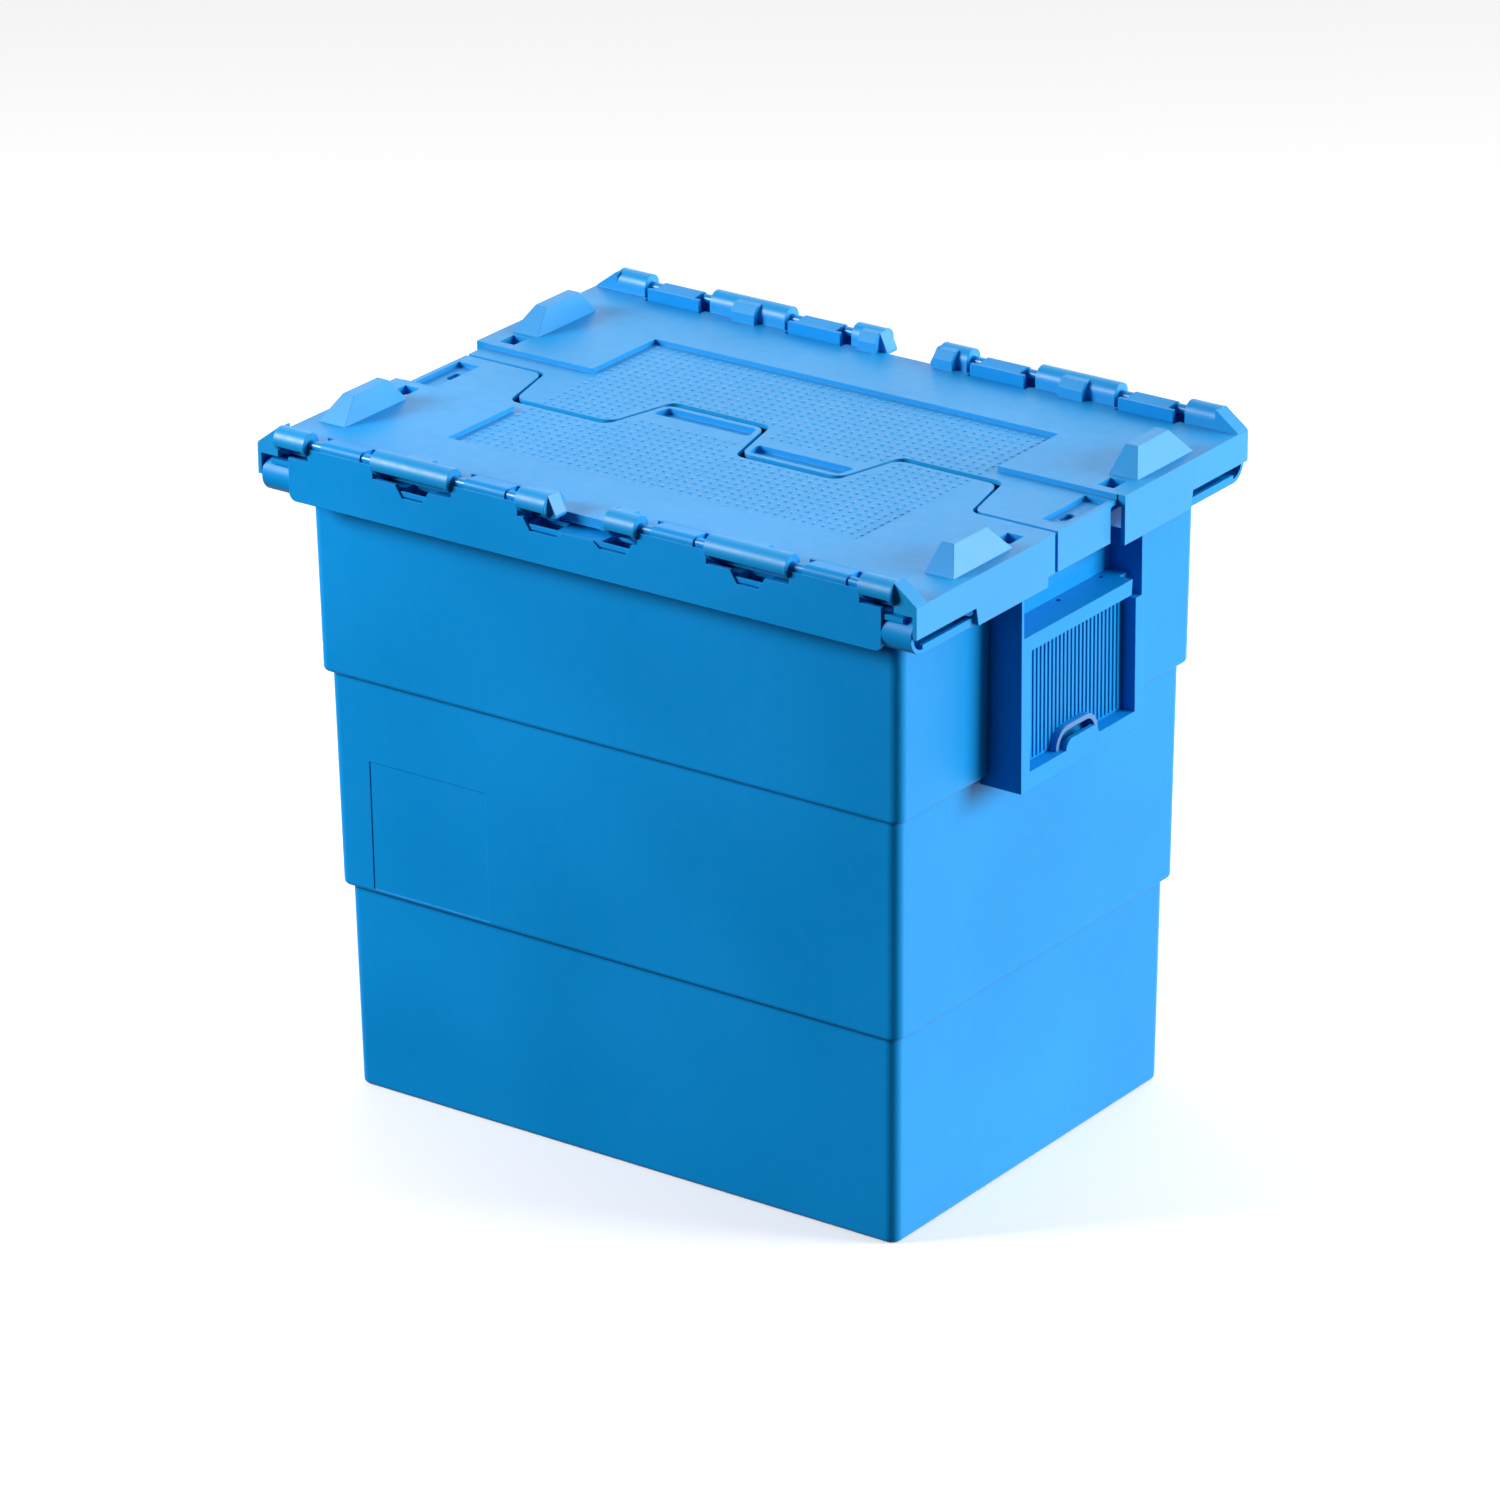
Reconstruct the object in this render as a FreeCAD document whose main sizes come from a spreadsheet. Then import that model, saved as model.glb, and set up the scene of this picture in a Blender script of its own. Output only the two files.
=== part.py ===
import FreeCAD, Part
import math
import os

import Sketcher

# Attached-lid storage crate: a stepped tub that nests when empty, closed by two
# interlocking half lids that swing 270 degrees on four plastic hinge rods.
# Frame: origin at the centre of the base, +X along the hinges, +Y to the rear, +Z up.

SIZES = {
    # overall
    "crate_length": 400.0,
    "crate_width": 300.0,
    "hinge_top": 366.0,
    # tub
    "wall": 2.5,
    "floor_thickness": 3.0,
    "draft_angle": 0.75,
    "corner_radius": 6.0,
    "step_out": 3.5,
    "step_round": 2.5,
    "tier_one_height": 113.0,
    "tier_two_height": 118.5,
    "end_overhang": 20.0,
    "side_overhang": 18.4,
    # rim
    "rim_thickness": 2.6,
    "rim_shelf": 12.0,
    "rim_roll": 9.7,
    "skirt_wall": 2.2,
    "skirt_reach": 3.5,
    "skirt_corner": 4.0,
    "gutter_start": 90.0,
    "gutter_lip": 4.4,
    "window_clearance": 1.9,
    "notch_drop": 14.7,
    "notch_flare": 4.0,
    # hinge
    "knuckle_radius": 6.3,
    "knuckle_bore": 4.3,
    "ear_thickness": 2.5,
    "axis_rise": 4.2,
    "rod_diameter": 5.0,
    "cap_wall": 0.8,
    "rod_fit": 0.05,
    "ear_fit": 0.08,
    "rod_end_room": 0.75,
    "centre_gap": 18.0,
    "centre_knuckle": 18.0,
    "centre_gusset": 4.5,
    "centre_notch": 9.5,
    "knuckle_space": 42.0,
    "end_knuckle": 19.0,
    "gusset_length": 13.0,
    "bearing_length": 25.0,
    "web_length": 33.0,
    "web_thickness": 2.0,
    "web_rise": 2.3,
    "web_support": 1.2,
    "web_offset": 8.1,
    "hump_length": 14.5,
    "hump_reach": 10.5,
    "gusset_front": 2.8,
    # lids
    "lid_thickness": 5.2,
    "lid_gap": 2.0,
    "recess_depth": 2.6,
    "lid_flange": 2.3,
    "flange_clearance": 0.5,
    "flange_drop": 26.0,
    "flange_short_drop": 16.5,
    "flange_step": 95.0,
    "tongue_half": 34.0,
    "tongue_inset": 4.5,
    "tongue_drop": 24.0,
    "tongue_notch": 6.0,
    "panel_end_margin": 75.0,
    "panel_side_margin": 62.0,
    "seam_pitch": 70.5,
    "seam_reach": 20.0,
    "seam_slant": 5.0,
    "seam_gap": 1.0,
    "tip_gap": 5.0,
    "tongue_gap": 2.4,
    "seam_radius": 7.0,
    "pull_lip": 3.0,
    "pull_slot": 11.0,
    "pull_depth": 3.2,
    "pull_floor": 1.7,
    "pull_wall": 1.5,
    "pull_round": 2.5,
    "cell_rib": 3.0,
    # stacking bosses, seal slots and latch pockets
    "boss_inset": 6.5,
    "boss_width": 17.0,
    "boss_start": 55.0,
    "boss_length": 51.0,
    "boss_height": 13.0,
    "boss_wall": 2.4,
    "boss_inner_lean": 2.5,
    "boss_outer_lean": 7.5,
    "boss_end_lean": 11.5,
    "slot_inset": 10.5,
    "slot_width": 9.5,
    "slot_start": 39.5,
    "slot_length": 12.0,
    "pocket_inset": 7.2,
    "pocket_width": 13.3,
    "pocket_start": 9.5,
    "pocket_length": 39.0,
    "pocket_floor": 1.7,
    "pocket_wall": 1.5,
    "latch_inset": 15.0,
    "latch_half_width": 2.6,
    "latch_near": 2.0,
    "latch_far": 7.0,
    # hand grips and their label plates
    "grip_width": 108.6,
    "grip_inset": 1.6,
    "grip_drop": 4.5,
    "grip_height": 81.0,
    "grip_cheek": 2.0,
    "cheek_rise": 20.8,
    "stile": 7.3,
    "sill": 9.4,
    "beam": 8.0,
    "frame_wall": 2.5,
    "plate_recess": 7.8,
    "plate_thickness": 2.0,
    "plate_fit": 0.1,
    "drain_radius": 1.5,
    "drain_inset": 3.5,
    "drain_pitch": 38.0,
    "bump_width": 29.0,
    "bump_height": 5.2,
    "rib_height": 0.7,
    "rib_width": 1.7,
    "rib_margin": 3.65,
    "notch_room": 1.5,
    "notch_rise": 3.0,
    "arch_width": 2.6,
    "arch_stand": 4.5,
    # card field on the front wall
    "card_left": 151.0,
    "card_width": 74.0,
    "card_height": 71.0,
    "card_depth": 0.4,
}
CELLS = 8
RIBS = 26
TIP_DROOP = 25.0

doc = FreeCAD.newDocument("attached_lid_crate")
sheet = doc.addObject("Spreadsheet::Sheet", "sizes")
for row, (alias, number) in enumerate(SIZES.items(), start=1):
    sheet.set("A%d" % row, alias)
    sheet.set("B%d" % row, "%g" % number)
    sheet.setAlias("B%d" % row, alias)
doc.recompute()


class Size:
    """A length that carries both its value and the spreadsheet formula behind it."""

    def __init__(self, number, formula):
        self.number = number
        self.formula = formula

    def __add__(self, other):
        other = as_size(other)
        return Size(self.number + other.number, "(%s + %s)" % (self.formula, other.formula))

    def __sub__(self, other):
        other = as_size(other)
        return Size(self.number - other.number, "(%s - %s)" % (self.formula, other.formula))

    def __mul__(self, factor):
        factor = as_size(factor)
        return Size(self.number * factor.number, "(%s * %s)" % (self.formula, factor.formula))

    def __truediv__(self, factor):
        factor = as_size(factor)
        return Size(self.number / factor.number, "(%s / %s)" % (self.formula, factor.formula))

    def __neg__(self):
        return Size(-self.number, "(0 - %s)" % self.formula)


def as_size(thing):
    return thing if isinstance(thing, Size) else Size(float(thing), "%.6g" % thing)


def size(alias):
    return Size(SIZES[alias], "sizes.%s" % alias)


def tangent(angle):
    return Size(math.tan(math.radians(angle.number)), "tan(%s)" % angle.formula)


# ---------------------------------------------------------------- modelling helpers

def new_body(label):
    body = doc.addObject("PartDesign::Body", label)
    body.Label = label
    return body


def origin_plane(body, role):
    return [item for item in body.Origin.OriginFeatures if item.Role == role][0]


def new_sketch(body, label, role, offset=0.0):
    """An empty sketch on one of the body's own planes, moved along its normal."""
    sketch = body.newObject("Sketcher::SketchObject", label)
    sketch.AttachmentSupport = [(origin_plane(body, role), "")]
    sketch.MapMode = "FlatFace"
    sketch.setExpression("AttachmentOffset.Base.z", as_size(offset).formula)
    return sketch


def hold(sketch, kind, geometry, point, distance, name):
    """Pins one coordinate of a sketch point to a formula."""
    index = sketch.addConstraint(Sketcher.Constraint(kind, -1, 1, geometry, point, distance.number))
    sketch.renameConstraint(index, name)
    sketch.setExpression("Constraints." + name, distance.formula)


def add_loop(sketch, points):
    """A closed loop. A point is (u, v), or (u, v, cu, cv, turn) where an arc about
    (cu, cv) leaves it, anticlockwise for turn +1 and clockwise for -1."""
    first = sketch.GeometryCount
    count = len(points)
    corners = [(as_size(point[0]), as_size(point[1])) for point in points]
    ends = []
    for index, point in enumerate(points):
        start = corners[index]
        finish = corners[(index + 1) % count]
        here = FreeCAD.Vector(start[0].number, start[1].number, 0)
        there = FreeCAD.Vector(finish[0].number, finish[1].number, 0)
        if len(point) == 2:
            sketch.addGeometry(Part.LineSegment(here, there), False)
            ends.append((1, 2))
            continue
        centre = FreeCAD.Vector(as_size(point[2]).number, as_size(point[3]).number, 0)
        if point[4] < 0:
            here, there = there, here
        radius = (here - centre).Length
        circle = Part.Circle(centre, FreeCAD.Vector(0, 0, 1), radius)
        low = math.atan2(here.y - centre.y, here.x - centre.x)
        high = math.atan2(there.y - centre.y, there.x - centre.x)
        if high <= low:
            high += 2 * math.pi
        sketch.addGeometry(Part.ArcOfCircle(circle, low, high), False)
        ends.append((1, 2) if point[4] > 0 else (2, 1))
    for index in range(count):
        follower = (index + 1) % count
        sketch.addConstraint(Sketcher.Constraint(
            "Coincident", first + index, ends[index][1], first + follower, ends[follower][0]))
    for index, point in enumerate(points):
        name = "p%d" % (first + index)
        across, up = corners[index]
        before = points[index - 1]
        free = None
        if len(before) > 2:
            radial_u = abs(across.number - as_size(before[2]).number)
            radial_v = abs(up.number - as_size(before[3]).number)
            free = "DistanceX" if radial_u > radial_v else "DistanceY"
        if free != "DistanceX":
            hold(sketch, "DistanceX", first + index, ends[index][0], across, name + "u")
        if free != "DistanceY":
            hold(sketch, "DistanceY", first + index, ends[index][0], up, name + "v")
        if len(point) > 2:
            hold(sketch, "DistanceX", first + index, 3, as_size(point[2]), name + "cu")
            hold(sketch, "DistanceY", first + index, 3, as_size(point[3]), name + "cv")
    return sketch


def outline(body, label, role, offset, *loops):
    sketch = new_sketch(body, label, role, offset)
    for loop in loops:
        add_loop(sketch, loop)
    return sketch


def rectangle(left, low, right, high):
    return [(left, low), (right, low), (right, high), (left, high)]


def add_circles(sketch, circles):
    """Round outlines, each (u, v, radius)."""
    for across, up, radius in circles:
        index = sketch.GeometryCount
        centre = FreeCAD.Vector(across.number, up.number, 0)
        sketch.addGeometry(Part.Circle(centre, FreeCAD.Vector(0, 0, 1), radius.number), False)
        hold(sketch, "DistanceX", index, 3, across, "c%du" % index)
        hold(sketch, "DistanceY", index, 3, up, "c%dv" % index)
        ring = sketch.addConstraint(Sketcher.Constraint("Radius", index, radius.number))
        sketch.renameConstraint(ring, "c%dr" % index)
        sketch.setExpression("Constraints.c%dr" % index, radius.formula)
    return sketch


def settle(feature):
    """Computes a feature, leaving coplanar faces to be merged once, at the body's end."""
    feature.Refine = False
    doc.recompute()
    return feature


def extrude(body, kind, label, sketch, length, taper=None, symmetric=False, flip=False):
    feature = body.newObject("PartDesign::" + kind, label)
    feature.Profile = sketch
    feature.setExpression("Length", as_size(length).formula)
    if taper is not None:
        feature.setExpression("TaperAngle", taper.formula)
    if symmetric:
        feature.SideType = "Symmetric"
    feature.Reversed = flip
    return settle(feature)


def pad(body, label, sketch, length, **options):
    return extrude(body, "Pad", label, sketch, length, **options)


def pocket(body, label, sketch, depth, **options):
    """Cuts, and makes sure that something was cut."""
    before = body.Tip.Shape
    feature = extrude(body, "Pocket", label, sketch, depth, **options)
    same_faces = len(feature.Shape.Faces) == len(before.Faces)
    if same_faces and feature.Shape.Volume > before.Volume - 0.01:
        raise RuntimeError(label + " cuts nothing")
    return feature


def round_edges(body, label, wanted, radius):
    """Fillets every edge of the body's tip for which wanted(edge) holds."""
    tip = body.Tip
    names = ["Edge%d" % (index + 1) for index, edge in enumerate(tip.Shape.Edges) if wanted(edge)]
    if not names:
        raise RuntimeError(label + " finds no edge")
    feature = body.newObject("PartDesign::Fillet", label)
    feature.Base = (tip, names)
    feature.setExpression("Radius", as_size(radius).formula)
    return settle(feature)


def mirror(body, label, originals, role):
    feature = body.newObject("PartDesign::Mirrored", label)
    feature.Originals = originals
    feature.MirrorPlane = (origin_plane(body, role), [""])
    body.Tip = feature
    return settle(feature)


def half_turn(body, label, originals):
    """Repeats features on the opposite end, turned 180 degrees about the upright axis."""
    feature = body.newObject("PartDesign::PolarPattern", label)
    feature.Originals = originals
    feature.Axis = (origin_plane(body, "Z_Axis"), [""])
    feature.Angle = 360
    feature.Occurrences = 2
    body.Tip = feature
    return settle(feature)


def row_of(body, label, originals, pitch, count):
    """Repeats features along +X."""
    feature = body.newObject("PartDesign::LinearPattern", label)
    feature.Originals = originals
    feature.Direction = (origin_plane(body, "X_Axis"), [""])
    feature.setExpression("Length", (pitch * (count - 1)).formula)
    feature.Occurrences = count
    body.Tip = feature
    return settle(feature)


def finish(body):
    """Merges the coplanar faces of a finished body."""
    body.Tip.Refine = True
    doc.recompute()
    return body


def turned_twin(label, original):
    """The same moulding used again, turned half round about the upright axis."""
    twin = new_body(label)
    base = twin.newObject("PartDesign::FeatureBase", label + "_moulding")
    base.BaseFeature = original
    twin.Tip = base
    twin.Placement = FreeCAD.Placement(FreeCAD.Vector(0, 0, 0),
                                       FreeCAD.Rotation(FreeCAD.Vector(0, 0, 1), 180))
    doc.recompute()
    return twin


# ---------------------------------------------------------------- shared levels and stations

slope = tangent(size("draft_angle"))
axis_y = size("crate_width") / 2 - size("knuckle_radius")
axis_z = size("hinge_top") - size("knuckle_radius")
lid_top = axis_z - size("axis_rise")
lid_under = lid_top - size("lid_thickness")
recess_z = lid_top - size("recess_depth")
rim_top = lid_under - size("lid_gap")
rim_under = rim_top - size("rim_thickness")
step_one = size("tier_one_height")
step_two = step_one + size("tier_two_height")

end_x = size("crate_length") / 2
flange_in = end_x - size("lid_flange")
rim_end = flange_in - size("flange_clearance")
top_x = end_x - size("end_overhang")
top_y = size("crate_width") / 2 - size("side_overhang")
skirt_y = axis_y + size("skirt_reach")
skirt_foot = rim_top - size("rim_roll") * 2

# half length and half width at the foot and head of each tier, upper tier first
upper_foot = (top_x - (rim_top - step_two) * slope, top_y - (rim_top - step_two) * slope)
middle_head = (upper_foot[0] - size("step_out"), upper_foot[1] - size("step_out"))
middle_foot = (middle_head[0] - size("tier_two_height") * slope,
               middle_head[1] - size("tier_two_height") * slope)
lower_head = (middle_foot[0] - size("step_out"), middle_foot[1] - size("step_out"))
lower_foot = (lower_head[0] - size("tier_one_height") * slope,
              lower_head[1] - size("tier_one_height") * slope)

# hinge stations along +X: lid knuckles, with the tub's bearings between them
centre_knuckle = (size("centre_gap"), size("centre_gap") + size("centre_knuckle"))
end_knuckle = (end_x - size("gusset_length") - size("end_knuckle"), end_x - size("gusset_length"))
mid_knuckle = (centre_knuckle[1] + size("knuckle_space"), end_knuckle[0] - size("knuckle_space"))
knuckles = {"centre": centre_knuckle, "mid": mid_knuckle, "end": end_knuckle}
inner_bearing = (centre_knuckle[1] + mid_knuckle[0]) / 2
outer_bearing = (mid_knuckle[1] + end_knuckle[0]) / 2
mid_hump = (mid_knuckle[0] + mid_knuckle[1]) / 2
web_out = axis_y - size("web_offset")
web_in = web_out - size("web_thickness")
panel_x = end_x - size("panel_end_margin")
panel_y = size("crate_width") / 2 - size("panel_side_margin")


# ---------------------------------------------------------------- tub

def tier_pads(tub):
    tiers = (("lower_tier", as_size(0), lower_foot, step_one),
             ("middle_tier", step_one, middle_foot, size("tier_two_height")),
             ("upper_tier", step_two, upper_foot, rim_top - step_two))
    for name, level, (half_x, half_y), height in tiers:
        sketch = outline(tub, name + "_outline", "XY_Plane", level,
                         rectangle(-half_x, -half_y, half_x, half_y))
        pad(tub, name, sketch, height, taper=size("draft_angle"))

    def upright(edge):
        box = edge.BoundBox
        return box.ZLength > 20

    def at_foot(edge):
        box = edge.BoundBox
        if box.ZLength > 0.001:
            return False
        if abs(box.ZMin) < 0.001:
            return True
        for level, below in ((step_one, lower_head), (step_two, middle_head)):
            beyond = max(box.XMax, -box.XMin) - below[0].number > 0.5
            outside = max(box.YMax, -box.YMin) - below[1].number > 0.5
            if abs(box.ZMin - level.number) < 0.001 and (beyond or outside):
                return True
        return False

    round_edges(tub, "tier_corners", upright, size("corner_radius"))
    round_edges(tub, "tier_feet", at_foot, size("step_round"))


def cavity(tub):
    wall = size("wall")
    floors = (("upper_cavity", rim_top, (top_x, top_y), rim_top - step_two - wall),
              ("middle_cavity", step_two + wall, middle_head, size("tier_two_height")),
              ("lower_cavity", step_one + wall, lower_head,
               step_one + wall - size("floor_thickness")))
    for name, level, (half_x, half_y), depth in floors:
        sketch = outline(tub, name + "_outline", "XY_Plane", level,
                         rectangle(wall - half_x, wall - half_y, half_x - wall, half_y - wall))
        pocket(tub, name, sketch, depth, taper=-size("draft_angle"))

    def inner_upright(edge):
        box = edge.BoundBox
        inside = box.XMax < top_x.number - 1 and box.XMin > 1 - top_x.number
        tall = box.ZLength > 60 and box.ZMin > 1
        near_end = min(abs(box.XMax), abs(box.XMin)) > lower_foot[0].number - 10
        near_side = min(abs(box.YMax), abs(box.YMin)) > lower_foot[1].number - 10
        slim = box.XLength < 3 and box.YLength < 3
        in_wall = max(abs(box.YMax), abs(box.YMin)) < top_y.number - 1
        return inside and tall and near_end and near_side and slim and in_wall

    def sharp(edge):
        half_y = max(abs(edge.BoundBox.YMax), abs(edge.BoundBox.YMin))
        half_x = max(abs(edge.BoundBox.XMax), abs(edge.BoundBox.XMin))
        level = edge.BoundBox.ZMax
        for top, head in ((rim_top, (top_x, top_y)), (step_two + wall, middle_head),
                          (step_one + wall, lower_head)):
            at_head = abs(level - top.number) < 0.01
            if at_head and abs(half_x - head[0].number + wall.number) < 0.1:
                return abs(half_y - head[1].number + wall.number) < 0.1
        return False

    round_edges(tub, "inside_corners", lambda edge: inner_upright(edge) and sharp(edge),
                size("corner_radius") - wall)


def both_sides(points):
    """A section loop on the front side and its mirror image on the rear side."""
    rear = []
    for point in points:
        across = as_size(point[0])
        if len(point) == 2:
            rear.append((-across, point[1]))
        else:
            rear.append((-across, point[1], -as_size(point[2]), point[3], -point[4]))
    return [points, rear]


def rim(tub):
    shelf_x = top_x + size("rim_shelf")
    shelf_y = skirt_y - size("skirt_wall") / 2
    hole_x = top_x - size("wall")
    hole_y = top_y - size("wall")
    slab = outline(tub, "rim_outline", "XY_Plane", rim_under,
                   rectangle(-shelf_x, -shelf_y, shelf_x, shelf_y),
                   rectangle(-hole_x, -hole_y, hole_x, hole_y))
    pad(tub, "rim_slab", slab, size("rim_thickness"))
    # rolled corners: half tubes along X, open at their outer ends
    roll_y = skirt_y - size("rim_roll")
    middle_z = rim_top - size("rim_roll")
    inner = size("rim_roll") - size("skirt_wall")
    start = top_x - size("wall") / 2
    section = both_sides([
        (-roll_y, rim_top, -roll_y, middle_z, 1),
        (-roll_y, skirt_foot),
        (-roll_y, skirt_foot + size("skirt_wall"), -roll_y, middle_z, -1),
        (-roll_y, middle_z + inner)])
    roll = pad(tub, "rim_roll", outline(tub, "roll_section", "YZ_Plane", start, *section),
               rim_end - start)
    # gutter shelves under the short ends, with an upturned lip, and the corner shelves above
    near = size("gutter_start")
    shelves = (("gutter", skirt_foot, start, near, size("skirt_wall")),
               ("gutter_lip", skirt_foot, rim_end - size("skirt_wall"), near, size("gutter_lip")),
               ("corner_shelf", rim_under, start, roll_y - size("rim_roll"), size("rim_thickness")))
    features = [roll]
    for name, level, left, inboard, height in shelves:
        sketch = outline(tub, name + "_outline", "XY_Plane", level,
                         rectangle(left, -roll_y, rim_end, -inboard),
                         rectangle(left, inboard, rim_end, roll_y))
        features.append(pad(tub, name, sketch, height))
    mirror(tub, "rim_left", features, "YZ_Plane")


def skirt_loop():
    """The skirt's front view: windows for the lid knuckles, notches for their humps."""
    clear = size("flange_clearance")
    support = axis_z - size("web_support")
    window = axis_z - size("knuckle_radius") - size("window_clearance")
    notch = axis_z - size("notch_drop")
    flare = size("notch_flare")
    half_hump = size("hump_length") / 2
    crest = [
        (size("centre_notch"), rim_top),
        (size("centre_notch") + flare, notch),
        (centre_knuckle[1] - flare - 3, notch),
        (centre_knuckle[1] - 3, window),
        (centre_knuckle[1] + clear, window),
        (centre_knuckle[1] + clear, support),
        (mid_knuckle[0] - clear, support),
        (mid_knuckle[0] - clear, window),
        (mid_hump - half_hump - flare + 1, window),
        (mid_hump - half_hump + 1, notch),
        (mid_hump + half_hump - 1, notch),
        (mid_hump + half_hump + flare - 1, window),
        (mid_knuckle[1] + clear, window),
        (mid_knuckle[1] + clear, support),
        (end_knuckle[0] - clear, support),
        (end_knuckle[0] - clear, window),
        (top_x, window),
    ]
    foot_x = top_x - size("skirt_corner")
    foot_z = skirt_foot + size("skirt_corner")
    foot = [
        (top_x, foot_z, foot_x, foot_z, -1),
        (foot_x, skirt_foot),
        (-foot_x, skirt_foot, -foot_x, foot_z, -1),
        (-top_x, foot_z),
    ]
    return crest + foot + [(-across, up) for across, up in reversed(crest)]


def skirts(tub):
    sketch = outline(tub, "skirt_outline", "XZ_Plane", skirt_y - size("skirt_wall"), skirt_loop())
    front = pad(tub, "front_skirt", sketch, size("skirt_wall"))
    mirror(tub, "rear_skirt", [front], "XZ_Plane")
    bearings(tub)
    notches(tub)


def bearings(tub):
    """Tub-side hinge bearings: an upright web with the rod's cap in front of it."""
    reach = size("rod_diameter") / 2 + size("cap_wall")
    crest = axis_z + size("web_rise")
    web = both_sides(rectangle(-web_out, rim_under, -web_in, crest))
    cap = both_sides([
        (-web_out, crest), (-web_out, rim_under), (-axis_y - reach, rim_under),
        (-axis_y - reach, axis_z, -axis_y, axis_z, -1), (-axis_y, axis_z + reach)])
    features = []
    for name, station in (("inner", inner_bearing), ("outer", outer_bearing)):
        for part, loops, length in (("web", web, size("web_length")),
                                    ("cap", cap, size("bearing_length"))):
            sketch = outline(tub, "%s_%s_section" % (name, part), "YZ_Plane",
                             station - length / 2, *loops)
            features.append(pad(tub, "%s_%s" % (name, part), sketch, length))
    mirror(tub, "left_bearings", features, "YZ_Plane")


def notches(tub):
    """Cuts the rim behind the skirt's notches, and the channel that takes the rods."""
    half_hump = size("hump_length") / 2
    inner = (size("centre_notch") + size("notch_flare"), centre_knuckle[1] - size("notch_flare"))
    middle = (mid_hump - half_hump - 1, mid_hump + half_hump + 1)
    outer_y = skirt_y - size("skirt_wall") + 0.1
    inner_y = top_y + size("wall")
    loops = []
    for low, high in (inner, middle):
        for left, right in ((low, high), (-high, -low)):
            loops.append(rectangle(left, inner_y, right, outer_y))
            loops.append(rectangle(left, -outer_y, right, -inner_y))
    sketch = outline(tub, "notch_outline", "XY_Plane", rim_top, *loops)
    pocket(tub, "rim_notches", sketch, size("rim_thickness") + 1)
    bore = size("rod_diameter") / 2 + size("rod_fit")
    channel = new_sketch(tub, "rod_channel_section", "YZ_Plane")
    add_circles(channel, [(-axis_y, axis_z, bore), (axis_y, axis_z, bore)])
    pocket(tub, "rod_channel", channel, end_x * 2, symmetric=True)


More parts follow.
